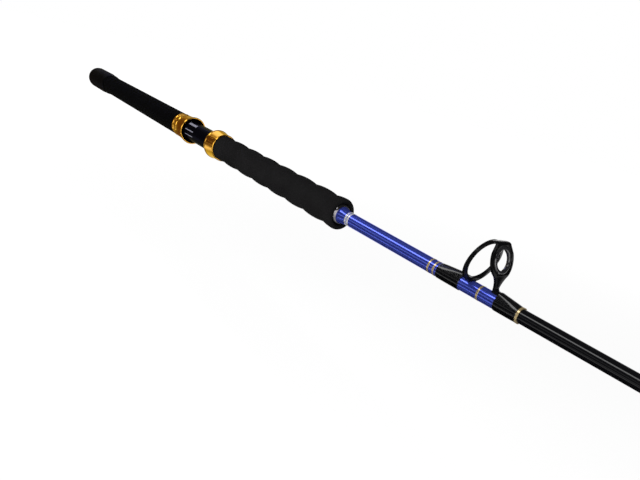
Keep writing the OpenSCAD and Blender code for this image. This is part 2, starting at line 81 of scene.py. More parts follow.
def length(name, description, default_mm, low_mm, high_mm):
    """A setting for a length, given in millimetres and kept in metres."""
    return FloatProperty(
        name=name,
        description=description,
        default=default_mm * MM,
        min=low_mm * MM,
        max=high_mm * MM,
        precision=5,
        subtype="DISTANCE",
        unit="LENGTH",
    )


class RodSizes(bpy.types.PropertyGroup):
    """Sizes of the rod's surface detail"""

    turning_steps: IntProperty(
        name="Turning steps", description="Facets round a turned piece", default=128, min=48, max=256
    )
    edge_round: length("Edge rounding", "Rounding of turned metal edges", 0.22, 0.02, 0.6)
    trim_round: length("Trim rounding", "Rounding of thread bands and wraps", 0.12, 0.02, 0.3)
    wire_round: length("Guide rounding", "Rounding of the guide frames' edges", 0.22, 0.02, 0.5)
    foam_cell: length("Foam cell", "Size of the foam's cells", 0.55, 0.1, 2)
    thread_pitch: length("Thread pitch", "Distance between two turns of thread", 0.3, 0.1, 0.6)
    tool_pitch: length("Tool mark pitch", "Distance between turning marks", 0.16, 0.05, 0.5)
    bar_length: length("Index bar length", "Length of the index bars on the seat", 21.5, 5, 30)


class RodColours(bpy.types.PropertyGroup):
    """Colours of the rod's finishes"""

    foam: colour("Foam", "EVA foam of the grips", (0.0062, 0.006, 0.0062))
    # The rear grip's foam is the same foam made darker, as painted shade for the rear grip's lower light
    rear_foam_shaded: colour("Rear foam", "Shaded foam of the rear grip", (0.0006, 0.0006, 0.0007))
    rubber: colour("Cap rubber", "Moulded butt cap", (0.0006, 0.0006, 0.0007))
    blank: colour("Blank", "Gloss paint of the blank", (0.0014, 0.0014, 0.0018))
    seat: colour("Seat", "Moulded seat tube", (0.0007, 0.0007, 0.0013))
    bars: colour("Index bars", "Printed index bars on the seat", (0.19, 0.19, 0.23))
    gold: colour("Gold anodising", "Lock nut, slip ring and hoods", (0.76, 0.4, 0.05))
    silver: colour("Silver anodising", "Winding check", (0.2, 0.2, 0.22))
    blue: colour("Blue thread", "Metallic thread of the butt wrap", (0.062, 0.084, 0.86))
    gold_thread: colour("Gold thread", "Trim bands", (0.74, 0.57, 0.29))
    silver_thread: colour("Silver thread", "Bands at the cone", (0.78, 0.78, 0.8))
    black_thread: colour("Black thread", "Foot wraps", (0.0016, 0.0016, 0.002))
    frame_black: colour("Guide black", "Coating of the guide frames", (0.0016, 0.0016, 0.0018))
    ceramic: colour("Ring", "Ceramic ring inserts", (0.006, 0.006, 0.007))
    cork: colour("Cork", "Arbors inside the seat", (0.42, 0.24, 0.12))


class RodStage(bpy.types.PropertyGroup):
    """Floor, lamps and camera round the rod"""

    floor_drop: FloatProperty(
        name="Floor drop", description="Floor below the rod's axis", default=0.42, min=0.02, max=2,
        subtype="DISTANCE", unit="LENGTH",
    )
    lens: FloatProperty(
        name="Lens", description="Focal length of the camera in millimetres", default=30.375, min=10, max=200
    )
    overhead: FloatProperty(
        name="Overhead lamp", description="Power of the strip over the rod", default=17, min=0, max=500,
        subtype="POWER", unit="POWER",
    )
    side: FloatProperty(
        name="Side lamp", description="Power of the lamp beside the camera", default=32, min=0, max=500,
        subtype="POWER", unit="POWER",
    )
    fill: FloatProperty(
        name="Fill", description="Level of the light from all round", default=0.5, min=0, max=2
    )


# Node trees


class Wire:
    """An output socket whose numbers can be worked on with Python's operators."""

    def __init__(self, tree, socket):
        self.tree = tree
        self.socket = socket

    def maths(self, operation, *values):
        """A Math node's output."""
        item = self.tree.nodes.new("ShaderNodeMath")
        item.operation = operation
        for slot, value in zip(item.inputs, values):
            if isinstance(value, Wire):
                self.tree.links.new(value.socket, slot)
            else:
                slot.default_value = value
        return Wire(self.tree, item.outputs[0])

    def __add__(self, other):
        return self.maths("ADD", self, other)

    def __radd__(self, other):
        return self.maths("ADD", other, self)

    def __sub__(self, other):
        return self.maths("SUBTRACT", self, other)

    def __rsub__(self, other):
        return self.maths("SUBTRACT", other, self)

    def __mul__(self, other):
        return self.maths("MULTIPLY", self, other)

    def __rmul__(self, other):
        return self.maths("MULTIPLY", other, self)

    def __truediv__(self, other):
        return self.maths("DIVIDE", self, other)

    def __rtruediv__(self, other):
        return self.maths("DIVIDE", other, self)

    def __abs__(self):
        return self.maths("ABSOLUTE", self)

    def sine(self):
        return self.maths("SINE", self)

    def root(self):
        return self.maths("SQRT", self)

    def angle_to(self, other):
        """The angle whose tangent is this value over the other."""
        return self.maths("ARCTAN2", self, other)

    def at_most(self, other):
        return self.maths("MINIMUM", self, other)

    def at_least(self, other):
        return self.maths("MAXIMUM", self, other)

    def below(self, limit, edge):
        """1 where the value is under the limit, falling to 0 over the edge."""
        ramp = self.maths("MULTIPLY_ADD", self, -1 / edge, limit / edge + 0.5)
        return ramp.at_least(0).at_most(1)


class Tree:
    """The node tree of a finish or of the studio's surroundings."""

    def __init__(self, owner, output):
        owner.use_nodes = True
        self.tree = owner.node_tree
        self.tree.nodes.clear()
        self.output = self.tree.nodes.new(output)

    def node(self, kind, settings=None, inputs=None, out=0):
        """One output of a new node with these settings, and these values or links in its sockets."""
        item = self.tree.nodes.new("ShaderNode" + kind)
        for key, value in (settings or {}).items():
            if key == "stops":
                ends = item.color_ramp.elements
                ends[0].color, ends[1].color = (*value[0][1], 1), (*value[-1][1], 1)
                for position, shade in value[1:-1]:
                    ends.new(position).color = (*shade, 1)
            else:
                setattr(item, key, value)
        for key, value in (inputs or {}).items():
            slot = item.inputs[key]
            if isinstance(value, Wire):
                self.tree.links.new(value.socket, slot)
            elif slot.type == "RGBA" and len(value) == 3:
                slot.default_value = (*value, 1)
            else:
                slot.default_value = value
        return Wire(self.tree, item.outputs[out])

    def blend(self, share, first, second):
        """A colour between two, by a share from 0 to 1."""
        return self.node("Mix", {"data_type": "RGBA"}, {0: share, 6: first, 7: second}, 2)

    def scaled(self, vector, factors):
        """A colour or vector times three factors."""
        return self.node("VectorMath", {"operation": "MULTIPLY"}, {0: vector, 1: factors})

    def noise(self, vector, scale, detail=2, roughness=0.5):
        """A noise texture's value."""
        return self.node(
            "TexNoise", None, {"Vector": vector, "Scale": scale, "Detail": detail, "Roughness": roughness}
        )

    def show(self, shader):
        """Links a shader to the output."""
        self.tree.links.new(shader.socket, self.output.inputs["Surface"])


class Finish(Tree):
    """A procedural material laid out on the rod's own frame."""

    def __init__(self, name):
        self.material = bpy.data.materials.new(name)
        super().__init__(self.material, "ShaderNodeOutputMaterial")
        self.place = self.node("TexCoord", out="Object")
        self.x, self.y, self.z = (
            self.node("SeparateXYZ", None, {0: self.place}, axis) for axis in range(3)
        )

    def radius(self):
        """The distance from the rod's axis."""
        return (self.y * self.y + self.z * self.z).root()

    def turn(self):
        """The angle round the rod, from the far side over the top."""
        return self.z.angle_to(self.y)

    def bump(self, height, depth):
        return self.node("Bump", None, {"Strength": 1, "Distance": depth, "Height": height})

    def surface(self, **sockets):
        """The finish's shader, its sockets named with underscores for spaces."""
        inputs = {key.replace("_", " "): value for key, value in sockets.items()}
        self.show(self.node("BsdfPrincipled", None, inputs))
        self.material.diffuse_color = (0.5, 0.5, 0.5, 1)
        return self.material


# Finishes


def shade(tint, factor):
    """A colour made darker or paler, never past full."""
    return tuple(min(1, part * factor) for part in tint)


def eva_foam(sizes, colours):
    """Closed-cell EVA foam, ground to size: open cells, pits and a soft bloom, with the rear grip darker as
    painted shade.
    """
    it = Finish("eva_foam")
    cells = it.node(
        "TexVoronoi", {"feature": "F1"}, {"Vector": it.place, "Scale": 1 / sizes.foam_cell, "Randomness": 1}
    )
    grain = it.noise(it.place, 0.6 / sizes.foam_cell, 4, 0.65)
    pits = it.noise(it.place, 0.25 / sizes.foam_cell, 2)
    cloud = it.noise(it.scaled(it.place, (0.6, 1, 1)), 60, 3)
    deep = pits.below(0.36, 0.06)
    tone = (cells * 0.5 + grain * 0.9 + (cloud - 0.5) * 0.9 - 0.25).at_least(0).at_most(1)
    # Painted shade: the rear grip takes the darker copy of the foam colour
    rear_shaded = it.x.below(BETWEEN_GRIPS_X, 0.02)
    dark, pale = (
        it.blend(rear_shaded, shade(colours.foam, factor), shade(colours.rear_foam_shaded, factor))
        for factor in (0.55, 1.7)
    )
    height = cells * 0.55 + grain * 0.8 - deep * 0.6
    return it.surface(
        Base_Color=it.blend(tone, dark, pale),
        Roughness=0.9 + (grain - 0.5) * 0.16,
        Specular_IOR_Level=0.03,
        Normal=it.bump(height, 0.09 * MM),
    )


def cap_rubber(sizes, colours):
    """Moulded rubber with a fine spark-eroded grain and a slight bloom."""
    it = Finish("cap_rubber")
    grain = it.noise(it.place, 2600, 3, 0.6)
    bloom = it.noise(it.place, 45, 4, 0.6)
    rubbed = it.noise(it.scaled(it.place, (0.15, 1, 1)), 300, 2)
    return it.surface(
        Base_Color=it.blend((bloom * 0.8 + grain * 0.3).at_most(1), colours.rubber, shade(colours.rubber, 2)),
        Roughness=0.56 + (bloom - 0.5) * 0.25 + (rubbed - 0.5) * 0.15,
        Specular_IOR_Level=0.02,
        Normal=it.bump(grain, 0.012 * MM),
    )


def anodised(name, tint, sizes, deep, edge=(1, 1, 1)):
    """Turned and anodised aluminium: fine tool marks round the axis under a clear dyed skin.

    The darkest colour is the tint times deep, with green and blue taken further down than red.
    """
    it = Finish(name)
    feed = (it.x + it.radius()) / sizes.tool_pitch
    marks = it.node("TexNoise", {"noise_dimensions": "1D"}, {"W": feed, "Scale": 1, "Detail": 3})
    drift = it.noise(it.place, 130, 3)
    tone = (marks * 0.5 + drift * 0.7 - 0.1).at_least(0).at_most(1)
    darker = tuple(part * deep ** (1 + 0.5 * number) for number, part in enumerate(tint))
    return it.surface(
        Base_Color=it.blend(tone, darker, tint),
        Metallic=1.0,
        Specular_Tint=edge,
        Roughness=0.1 + marks * 0.07 + (drift - 0.5) * 0.04,
        Normal=it.bump(marks, 0.002 * MM),
    )


def gloss_coat(name, tint, rough=0.09, shine=0.35):
    """Sprayed gloss black with a faint orange peel and a little dust."""
    it = Finish(name)
    waves = it.noise(it.place, 420, 2)
    dust = it.noise(it.place, 2200, 2).below(0.3, 0.05)
    haze = it.noise(it.scaled(it.place, (0.2, 1, 1)), 90, 3)
    return it.surface(
        Base_Color=it.blend(dust * 0.35 + haze * 0.3, tint, shade(tint, 4)),
        Roughness=rough + (haze - 0.5) * 0.06 + dust * 0.25,
        Specular_IOR_Level=shine,
        Coat_Weight=0.6 * shine,
        Coat_Roughness=0.04,
        Coat_IOR=1.35,
        Normal=it.bump(waves, 0.004 * MM),
    )


def thread_ridges(it, pitch):
    """Height of turns of thread laid side by side, rounded and slightly uneven."""
    wander = it.noise(it.scaled(it.place, (1, 0.35, 0.35)), 700, 2)
    phase = it.x * (2 * math.pi / pitch) + wander * 1.6
    return phase.sine() * 0.5 + 0.5


def thread(name, tint, sizes, metallic, rough=0.16, glint=0.35):
    """Thread wound close and filled with epoxy: ridges under a clear gloss, with painted shade in the grooves
    between turns and painted glints.
    """
    it = Finish(name)
    ridges = thread_ridges(it, sizes.thread_pitch)
    fibre = it.noise(it.scaled(it.place, (1, 0.25, 0.25)), 3400, 2)
    spark = it.noise(it.place, 900, 2)
    # Painted shade and glints: the colour darkens in the grooves between turns and takes random painted
    # glints
    tone = (ridges * 0.55 + fibre * 0.35 + (spark - 0.5) * glint + 0.1).at_least(0).at_most(1)
    return it.surface(
        Base_Color=it.blend(tone, shade(tint, 0.35), shade(tint, 1.15)),
        Metallic=metallic,
        Roughness=rough + (1 - ridges) * 0.16,
        Specular_IOR_Level=0.35,
        Coat_Weight=0.7,
        Coat_Roughness=0.05,
        Coat_IOR=1.4,
        Normal=it.bump(ridges + fibre * 0.3, 0.012 * MM),
    )


def blue_wrap(sizes, colours):
    """Metallic blue thread under epoxy, with pale and dark streaks along the rod painted in as reflections,
    and slight painted shade in the grooves.
    """
    it = Finish("blue_wrap")
    ridges = thread_ridges(it, sizes.thread_pitch)
    # Painted reflections: pale and dark streaks by the angle round the rod stand in for the thread's sheen
    reflection_streaks = it.node(
        "TexNoise",
        {"noise_dimensions": "1D"},
        {"W": it.turn() + it.x * 0.04, "Scale": 4.6, "Detail": 3, "Roughness": 0.65},
    )
    fibre = it.noise(it.scaled(it.place, (1, 0.25, 0.25)), 3400, 2)
    # The grooves between turns are slightly darker, as painted shade
    tone = ((reflection_streaks - 0.28) * 1.7 + (ridges - 0.5) * 0.06 + (fibre - 0.5) * 0.05).at_least(0).at_most(1)
    red, green, blue = colours.blue
    pale = (red * 2.6, green * 2.8, min(1, blue * 1.25))
    return it.surface(
        Base_Color=it.blend(tone, shade(colours.blue, 0.45), pale),
        Metallic=0.8,
        Specular_Tint=(0.45, 0.45, 1),
        Roughness=0.15 + (1 - ridges) * 0.04,
        Specular_IOR_Level=0.3,
        Coat_Weight=0.3,
        Coat_Roughness=0.05,
        Coat_IOR=1.4,
        Normal=it.bump(ridges, 0.0012 * MM),
    )


# The seat's index bars: place in degrees from the near side over the top, and width in millimetres
INDEX_BARS = ((-18, 0.9), (11, 1.1), (52, 3.2))


def seat_gloss(sizes, colours):
    """Moulded glass-filled seat, polished, with its pale index bars ahead of the sliding hood."""
    it = Finish("seat_gloss_black")
    waves = it.noise(it.place, 260, 3)
    flow = it.noise(it.scaled(it.place, (0.12, 1, 1)), 240, 3)
    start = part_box("sliding_hood")[1].x + 1.5 * MM
    seat_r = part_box("reel_seat_tube")[1].y
    along = abs(it.x - (start + sizes.bar_length / 2)).below(sizes.bar_length / 2, 0.3 * MM)
    round_rod = it.z.angle_to(0 - it.y)
    bars = sum(
        (abs(round_rod - math.radians(degrees)) * seat_r).below(width * MM / 2, 0.15 * MM)
        for degrees, width in INDEX_BARS
    )
    worn = it.noise(it.place, 1500, 3).below(0.72, 0.2)
    printed = bars * along * worn
    ground = it.blend(flow, colours.seat, shade(colours.seat, 2.2))
    return it.surface(
        Base_Color=it.blend(printed.at_most(1), ground, colours.bars),
        Roughness=0.28 + (waves - 0.5) * 0.08 + printed * 0.3,
        Specular_IOR_Level=0.004,
        Normal=it.bump(waves, 0.006 * MM),
    )


def ceramic(sizes, colours):
    """Polished dark ceramic with a faint lapping haze."""
    it = Finish("ceramic_dark")
    haze = it.noise(it.place, 700, 3)
    grain = it.noise(it.place, 5200, 2)
    return it.surface(
        Base_Color=it.blend(grain, colours.ceramic, shade(colours.ceramic, 2.4)),
        Roughness=0.06 + (haze - 0.4).at_least(0) * 0.16,
        IOR=1.65,
        Normal=it.bump(haze, 0.0015 * MM),
    )


def plug_plastic(sizes, colours):
    """Moulded grey plastic with a fine matt grain."""
    it = Finish("plug_plastic")
    grain = it.noise(it.place, 1800, 3)
    return it.surface(
        Base_Color=it.blend(grain, (0.03, 0.03, 0.032), (0.06, 0.06, 0.062)),
        Roughness=0.5 + (grain - 0.5) * 0.2,
        Normal=it.bump(grain, 0.02 * MM),
    )


def arbor_cork(sizes, colours):
    """Pressed cork: pale granules in a brown binder."""
    it = Finish("arbor_cork")
    cells = {"Vector": it.place, "Scale": 520}
    granules = it.node("TexVoronoi", {"feature": "F1"}, cells, 1)
    edges = it.node("TexVoronoi", {"feature": "DISTANCE_TO_EDGE"}, cells)
    share = it.node("RGBToBW", None, {0: granules})
    gaps = edges.below(0.06, 0.06)
    body = it.blend(share, shade(colours.cork, 0.6), shade(colours.cork, 1.35))
    return it.surface(
        Base_Color=it.blend(gaps, body, shade(colours.cork, 0.3)),
        Roughness=0.85 + gaps * 0.1,
        Normal=it.bump(1 - gaps, 0.12 * MM),
    )


FINISHES = {
    "eva_foam": eva_foam,
    "cap_rubber": cap_rubber,
    "gold_anodised": lambda sizes, colours: anodised(
        "gold_anodised", colours.gold, sizes, deep=0.88, edge=(1, 0.85, 0.5)
    ),
    "silver_anodised": lambda sizes, colours: anodised(
        "silver_anodised", colours.silver, sizes, deep=0.75
    ),
    "blank_gloss_black": lambda sizes, colours: gloss_coat("blank_gloss_black", colours.blank),
    "guide_frame_black": lambda sizes, colours: gloss_coat(
        "guide_frame_black", colours.frame_black, rough=0.2, shine=0.06
    ),
    "seat_gloss_black": seat_gloss,
    "blue_wrap": blue_wrap,
    "gold_thread": lambda sizes, colours: thread(
        "gold_thread", colours.gold_thread, sizes, metallic=0.75
    ),
    "silver_thread": lambda sizes, colours: thread(
        "silver_thread", colours.silver_thread, sizes, metallic=0.6
    ),
    "black_wrap": lambda sizes, colours: thread(
        "black_wrap", colours.black_thread, sizes, metallic=0.0, rough=0.1, glint=0.2
    ),
    "ceramic_dark": ceramic,
    "plug_plastic": plug_plastic,
    "arbor_cork": arbor_cork,
}
made = {}  # the finishes made so far, by name


def finish(name):
    """The finish of that material slot, made on first use."""
    if name not in made:
        made[name] = FINISHES[name](bpy.context.scene.rod_sizes, bpy.context.scene.rod_colours)
    return made[name]


# Shaping

CORNER = math.radians(25)  # an outline that turns by more than this is rounded there
HARD_EDGE = math.radians(34)  # an edge sharper than this is rounded
LONG_RUN = 1.5 * MM  # an outline's edge longer than this is cut beside its rounded end
HOLDING_CUT = 0.15 * MM  # the distance of that cut from the rounding

# The skins of the foot wraps: their bore as a share of the wrap's half width, their least
# thickness, how far inside the wrap's ends the rays are kept, and where the rays start
SKIN_BORE = 0.86
SKIN_LEAST = 0.05 * MM
END_MARGIN = 0.02 * MM
RAY_START = 50 * MM


def merged_copy(*nodes):
    """A copy of CAD nodes whose loose triangles are joined up."""
    bm = bmesh.new()
    for node in nodes:
        bm.from_mesh(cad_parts[node].data)
    bmesh.ops.remove_doubles(bm, verts=bm.verts, dist=0.002 * MM)
    return bm


def outline(*nodes):
    """The section of turned CAD nodes above the rod's axis, as loose edges."""
    bm = merged_copy(*nodes)
    bmesh.ops.bisect_plane(
        bm,
        geom=bm.verts[:] + bm.edges[:] + bm.faces[:],
        dist=0.0005 * MM,
        plane_co=(0, 0, 0),
        plane_no=(0, 1, 0),
        clear_inner=True,
        clear_outer=True,
    )
    bmesh.ops.delete(bm, geom=[v for v in bm.verts if v.co.z < -0.001 * MM], context="VERTS")
    bmesh.ops.remove_doubles(bm, verts=bm.verts, dist=0.01 * MM)
    straight = [v for v in bm.verts if len(v.link_edges) == 2 and bend(v) < math.radians(0.5)]
    bmesh.ops.dissolve_verts(bm, verts=straight)
    return bm


def bend(vert):
    """How far an outline turns at one of its points."""
    there, back = ((e.other_vert(vert).co - vert.co).normalized() for e in vert.link_edges)
    return math.pi - there.angle(back, math.pi)


def round_corners(bm, width):
    """Rounds the sharp corners of an outline.

    The long runs are cut just past each rounding, so that their shading stays true.
    """
    before = set(bm.verts)
    corners = [v for v in bm.verts if len(v.link_edges) == 2 and bend(v) > CORNER and v.co.z > 0.05 * MM]
    bmesh.ops.bevel(
        bm,
        geom=corners,
        offset=width,
        offset_type="OFFSET",
        segments=3,
        profile=0.5,
        affect="VERTICES",
        clamp_overlap=True,
        material=-1,
    )
    for vert in [v for v in bm.verts if v not in before]:
        for edge in list(vert.link_edges):
            if edge.calc_length() > LONG_RUN:
                bmesh.utils.edge_split(edge, vert, HOLDING_CUT / edge.calc_length())


def spin_round(bm, steps, centre=(0, 0, 0), axis=AXIS):
    """Turns an outline into a closed solid of revolution."""
    bmesh.ops.spin(
        bm,
        geom=bm.verts[:] + bm.edges[:],
        cent=centre,
        axis=axis,
        dvec=(0, 0, 0),
        angle=math.tau,
        steps=steps,
        use_merge=True,
        use_normal_flip=False,
        use_duplicate=False,
    )
    bmesh.ops.remove_doubles(bm, verts=bm.verts, dist=0.001 * MM)
    bmesh.ops.recalc_face_normals(bm, faces=bm.faces)


def round_edges(bm, edges, width):
    """Rounds edges of a solid."""
    bmesh.ops.bevel(
        bm,
        geom=edges,
        offset=width,
        offset_type="OFFSET",
        segments=2,
        profile=0.5,
        affect="EDGES",
        clamp_overlap=True,
        material=-1,
    )


def add_piece(bm, name, body, slot, nodes, sharp=32):
    """Makes a mesh into a finished piece that stands for its CAD nodes.

    Edges of more than sharp degrees keep a hard line in the shading.
    """
    mesh = bpy.data.meshes.new(name)
    bm.to_mesh(mesh)
    bm.free()
    mesh.shade_smooth()
    mesh.set_sharp_from_angle(angle=math.radians(sharp))
    mesh.materials.append(finish(slot))
    piece = bpy.data.objects.new(name, mesh)
    bpy.context.scene.collection.objects.link(piece)
    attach(piece, body)
    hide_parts(*nodes)
    return piece


def turned(name, body, slot, nodes, width):
    """Turned CAD nodes made again from their section, in fine steps and with rounded corners."""
    bm = outline(*nodes)
    round_corners(bm, width)
    spin_round(bm, bpy.context.scene.rod_sizes.turning_steps)
    return add_piece(bm, name, body, slot, nodes)


def eased(name, body, slot, nodes, width):
    """A merged copy of CAD nodes with their hard edges rounded off."""
    bm = merged_copy(*nodes)
    bmesh.ops.dissolve_limit(bm, angle_limit=math.radians(0.6), verts=bm.verts, edges=bm.edges)
    round_edges(bm, [e for e in bm.edges if e.is_manifold and e.calc_face_angle(0) > HARD_EDGE], width)
    return add_piece(bm, name, body, slot, nodes)


def assign(node, slot):
    """Gives a CAD node that is shown as it is its finish."""
    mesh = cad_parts[node].data
    mesh.materials.clear()
    mesh.materials.append(finish(slot))


# Where each slice of the mirrored room ends, by how far a ray points along the rod: -1 is
# straight back to the butt. The sliding hood's slice ends first, then the one for the nut and
# slip ring, then the fixed hood's. Past that lies the rest of the studio.

SLIDING_TO = -0.91
RING_TO = -0.868
FIXED_TO = -0.73
SLICE_EDGE = 0.02
FULL_LEVEL = 5  # the ramps hold each level as a share of this one

# Brightness of those three slices: degrees from the far side over the top, and level

ROOM_SLICES = (
    ((-180, 0.15), (-144, 0.12), (-80, 0.12), (-64, 0.18), (-40, 0.28), (-16, 0.5), (8, 0.7), (24, 0.6),
     (40, 0.5), (72, 0.34), (88, 0.25), (104, 0.19), (120, 0.15), (180, 0.14)),
    ((-180, 0.5), (-144, 0.66), (-128, 0.68), (-112, 0.52), (-96, 0.32), (-80, 0.25), (0, 0.4), (56, 0.3),
     (72, 0.4), (88, 0.5), (104, 0.65), (120, 0.55), (136, 0.5), (152, 0.4), (168, 0.34), (180, 0.44)),
    ((-180, 0.13), (-158, 0.25), (-150, 1.5), (-132, 1.7), (-122, 0.8), (-112, 0.66), (-98, 0.85),
     (-60, 0.85), (-20, 0.6), (30, 0.5), (42, 0.5), (52, 0.8), (62, 1.8), (95, 1.7), (108, 1.2),
     (116, 0.3), (130, 0.15), (180, 0.13)),
)


def gold_light(level):
    """A level of the room's light as a ramp colour, redder where it is dim."""
    green = min(1.05, 0.35 + level * 1.2)
    blue = 0.3 + level * level * 0.6
    return tuple(level / FULL_LEVEL * part for part in (1, green, blue))


# The stage and the pieces


class ROD_OT_stage(bpy.types.Operator):
    """Set the camera, the floor and the studio light"""

    bl_idname = "rod.stage"
    bl_label = "Stage"

    def execute(self, context):
        stage = context.scene.rod_stage
        self.camera(context, stage)
        self.floor(context, stage)
        self.surroundings(context, stage)
        over, beside = (0.5, -0.92, 1.25), (1.5, -1.8, 0.6)
        self.softbox(context, "overhead_strip", over, (0, 0, 0), (3.2, 0.44), stage.overhead, along_rod=True)
        self.softbox(context, "front_box", beside, (0.6, 0, 0), (1.8, 1.1), stage.side, along_rod=False)
        context.scene.view_settings.view_transform = "Standard"
        return {"FINISHED"}

    def camera(self, context, stage):
        """The camera, ahead of the first guide on the near side, looking back to the butt."""
        data = bpy.data.cameras.new("camera")
        data.lens = stage.lens
        data.sensor_width = 36
        data.clip_start = 0.01
        camera = bpy.data.objects.new("camera", data)
        turn = Matrix((CAMERA_RIGHT, -CAMERA_DOWN, -CAMERA_AHEAD)).transposed().to_4x4()
        camera.matrix_world = Matrix.Translation(CAMERA_PLACE) @ turn
        context.scene.collection.objects.link(camera)
        context.scene.camera = camera

    def floor(self, context, stage):
        """A pale floor that keeps the rod's shadow, and that metal and gloss see as the room's lower half."""
        bm = bmesh.new()
        bmesh.ops.create_grid(bm, x_segments=8, y_segments=8, size=14)
        bmesh.ops.translate(bm, vec=(FLOOR_MIDDLE_X, 0, -stage.floor_drop), verts=bm.verts)
        mesh = bpy.data.meshes.new("floor")
        bm.to_mesh(mesh)
        bm.free()
        it = Finish("studio_floor")
        middle = it.x - FLOOR_MIDDLE_X
        near = (middle * middle + it.y * it.y).root().below(2.2, 2.2)
        depth = self.ahead(it.x - VIEW_SPOT[0], it.y - VIEW_SPOT[1])
        # The floor's light areas: dark near the camera but for a line along the rod, then
        # lighter towards the tip and on the camera's side
        line = it.y.below(-0.48, 0.03) * (1 - it.y.below(-0.66, 0.03))
        unlit = depth.below(0.95, 0.4) * it.x.below(2, 0.3) * (1 - line)
        reach = it.x - REEL_SEAT_X
        span = (reach * reach + it.y * it.y + stage.floor_drop**2).root()
        tipward = 1 - (reach / span).below(0.78, 0.1)
        camera_side = it.y.below(-0.85, 0.1) * (1 - it.x.below(0.45, 0.2)) * 0.45
        lit = 1 - unlit + (tipward + camera_side)
        room = self.room(it, reach / span, it.y / span, -stage.floor_drop / span, lit)
        straight, mirror = self.rays(it)
        speck = it.noise(it.place, 900, 2)
        paper = it.blend(speck, (0.95, 0.95, 0.95), (0.99, 0.99, 0.99))
        diffuse = it.node("BsdfDiffuse", None, {"Color": paper})
        glow = it.node("Emission", None, {"Color": it.blend(mirror, (1, 1, 1), room), "Strength": 1.06})
        share = (straight * (1 - near * 0.25) + mirror).at_most(1)
        it.show(it.node("MixShader", None, {0: share, 1: diffuse, 2: glow}))
        mesh.materials.append(it.material)
        floor = bpy.data.objects.new("floor", mesh)
        context.scene.collection.objects.link(floor)

    def ahead(self, x, y):
        """How far a place or a direction lies the way the camera looks, on the level."""
        return x * VIEW_WAY[0] + y * VIEW_WAY[1]

    def rays(self, tree):
        """Rays straight from the camera, and rays off metal and gloss."""
        straight, mirror, through = (
            tree.node("LightPath", None, None, kind)
            for kind in ("Is Camera Ray", "Is Glossy Ray", "Is Transmission Ray")
        )
        return straight, (mirror + through).at_most(1) * (1 - straight)

    def room(self, tree, across, deep, height, lit):
        """The room that metal and gloss mirror, by direction from the reel seat.

        The sliding hood flares one way and the fixed hood the other, so each mirrors
        its own slice of the room, with the nut's and slip ring's slice between them.
        """
        angle = height.angle_to(deep) / math.tau + 0.5
        slices = []
        for levels in ROOM_SLICES:
            stops = [(degrees / 360 + 0.5, gold_light(level)) for degrees, level in levels]
            slices.append(tree.node("ValToRGB", {"stops": stops}, {0: angle}))
        sliding, ring, fixed = slices
        rear = tree.blend(across.below(SLIDING_TO, SLICE_EDGE), ring, sliding)
        gold = tree.blend(across.below(RING_TO, SLICE_EDGE), fixed, rear)
        return tree.blend(across.below(FIXED_TO, SLICE_EDGE), lit, tree.scaled(gold, [FULL_LEVEL] * 3))

    def surroundings(self, context, stage):
        """White behind the rod, an even fill, and for metal and gloss the room's upper half."""
        world = bpy.data.worlds.new("studio")
        context.scene.world = world
        it = Tree(world, "ShaderNodeOutputWorld")
        aim = it.node("TexCoord", out="Generated")
        across, deep, height = (it.node("SeparateXYZ", None, {0: aim}, axis) for axis in range(3))
        # The room's light areas by direction: a low wall behind the rod, a brighter one on the
        # camera's side towards the tip, a thin line along the camera's side, and a faint rest
        wall = height.below(0.24, 0.08) * (1 - self.ahead(across, deep).below(0.74, 0.1))
        front = deep.below(0, 0.1)
        beside = (1 - across.below(0, 0.2)) * height.below(0.35, 0.1) * front * 2.2
        thin = height.below(0.2, 0.02) * (1 - height.below(0.13, 0.02)) * front * 0.6
        room = self.room(it, across, deep, height, wall + beside + thin + 0.05)
        straight, mirror = self.rays(it)
        tone = it.blend(straight, [stage.fill] * 3, (1, 1, 1))
        it.show(it.node("Background", None, {"Color": it.blend(mirror, tone, room), "Strength": 1}))

    def softbox(self, context, name, place, aim, size, power, along_rod):
        """A soft rectangular lamp.

        One that lies along the rod only tilts towards it, and is mirrored. Another turns
        to face its aim, and isn't.
        """
        lamp = bpy.data.lights.new(name, "AREA")
        lamp.shape = "RECTANGLE"
        lamp.size, lamp.size_y = size
        lamp.energy = power
        holder = bpy.data.objects.new(name, lamp)
        look = Vector(aim) - Vector(place)
        if along_rod:
            holder.rotation_euler = (math.atan2(look.y, -look.z), 0, 0)
        else:
            holder.rotation_euler = look.to_track_quat("-Z", "Y").to_euler()
            holder.visible_glossy = False
        holder.location = place
        context.scene.collection.objects.link(holder)


class ROD_OT_grips(bpy.types.Operator):
    """Turn the rear grip and the swelled foregrip in foam"""

    bl_idname = "rod.grips"
    bl_label = "Foam grips"

    def execute(self, context):
        for node in ("rear_grip", "foregrip"):
            piece = turned(node + "_foam", "rod", "eva_foam", [node], width=0.8 * MM)
        return {"FINISHED"}


class ROD_OT_butt(bpy.types.Operator):
    """Mould the butt cap and finish the plug inside the blank"""

    bl_idname = "rod.butt"
    bl_label = "Butt cap and plug"

    def execute(self, context):
        turned("butt_cap_rubber", "rod", "cap_rubber", ["butt_cap"], width=0.5 * MM)
        assign("butt_plug", "plug_plastic")
        return {"FINISHED"}


class ROD_OT_blank(bpy.types.Operator):
    """Make the tapered blank in gloss black"""

    bl_idname = "rod.blank"
    bl_label = "Blank"

    def execute(self, context):
        turned("rod_blank_tube", "rod", "blank_gloss_black", ["rod_blank"], width=0.1 * MM)
        return {"FINISHED"}


class ROD_OT_reel_seat(bpy.types.Operator):
    """Finish the seat tube with its index bars, and the arbors inside it"""

    bl_idname = "rod.reel_seat"
    bl_label = "Reel seat"

    def execute(self, context):
        sizes = context.scene.rod_sizes
        eased("seat_tube", "rod", "seat_gloss_black", ["reel_seat_tube"], sizes.edge_round)
        assign("seat_arbors", "arbor_cork")
        return {"FINISHED"}


